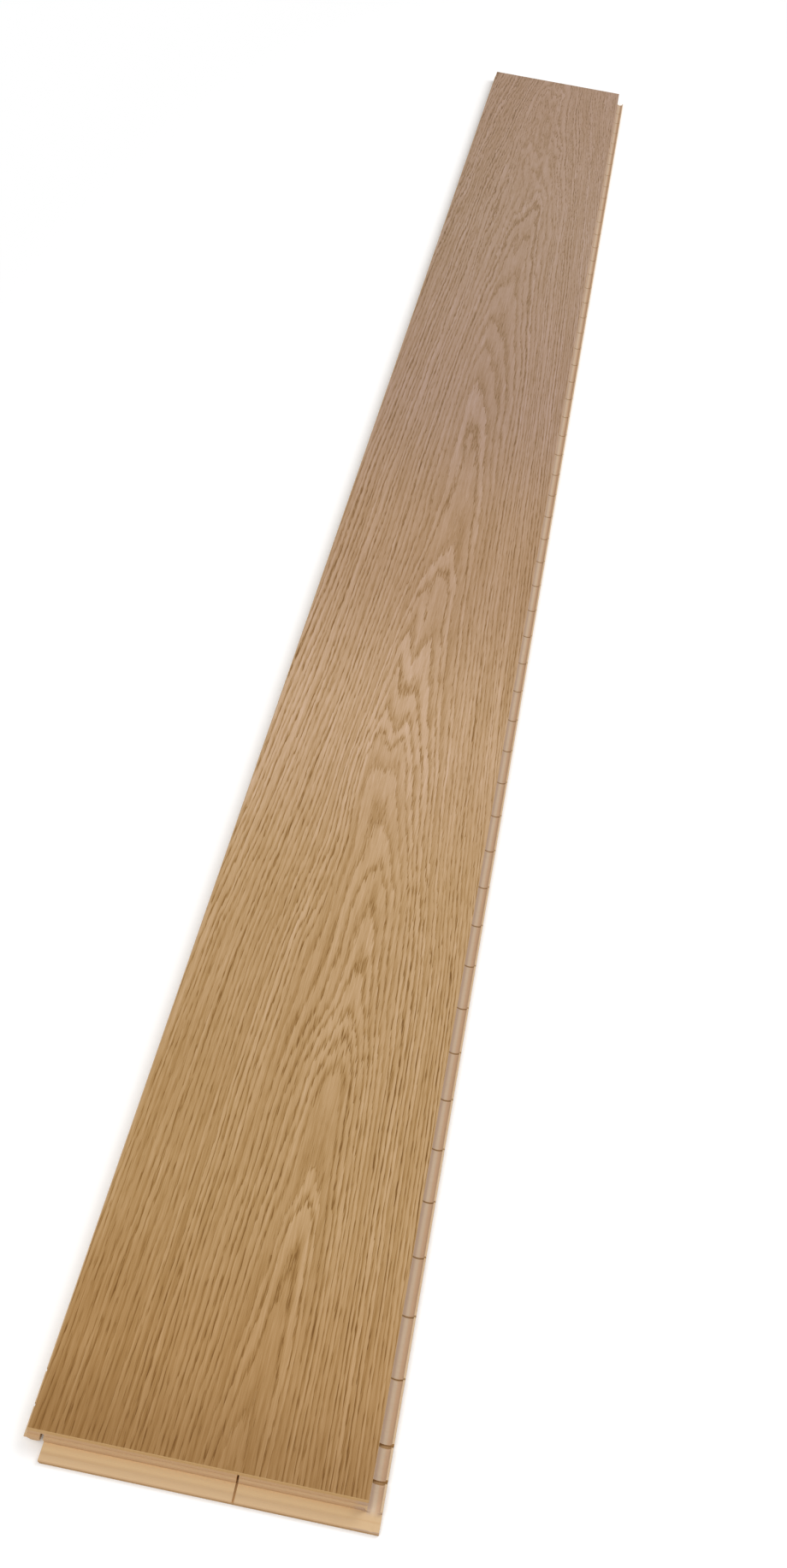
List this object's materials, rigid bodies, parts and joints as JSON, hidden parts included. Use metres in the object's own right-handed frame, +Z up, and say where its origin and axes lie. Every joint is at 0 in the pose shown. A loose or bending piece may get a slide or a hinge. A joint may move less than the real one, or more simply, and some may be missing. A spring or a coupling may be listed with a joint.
{
  "type": "parquet floorboard",
  "caption": "Three-layer parquet floorboard with an oak face, a slatted softwood core, a thin backing and click joints milled on all four sides.",
  "frame": {"origin": "middle of the underside, below the middle of the oak face; neighbouring boards stand at whole face widths and lengths from it", "axes": "+X across the board towards the side with the locking strip, +Y along the board away from the end with the lip, +Z up through the oak face"},
  "size_m": [0.1898, 2.2104, 0.014],
  "materials": {
    "oak_face": "matt lacquered oak with cathedral grain",
    "core_softwood": "bare milled softwood",
    "backing_softwood": "bare rotary-cut veneer"
  },
  "bodies": {
    "root": {"oak_face": "oak_face", "core_slats": "core_softwood", "backing_veneer": "backing_softwood"}
  },
  "joints": []
}
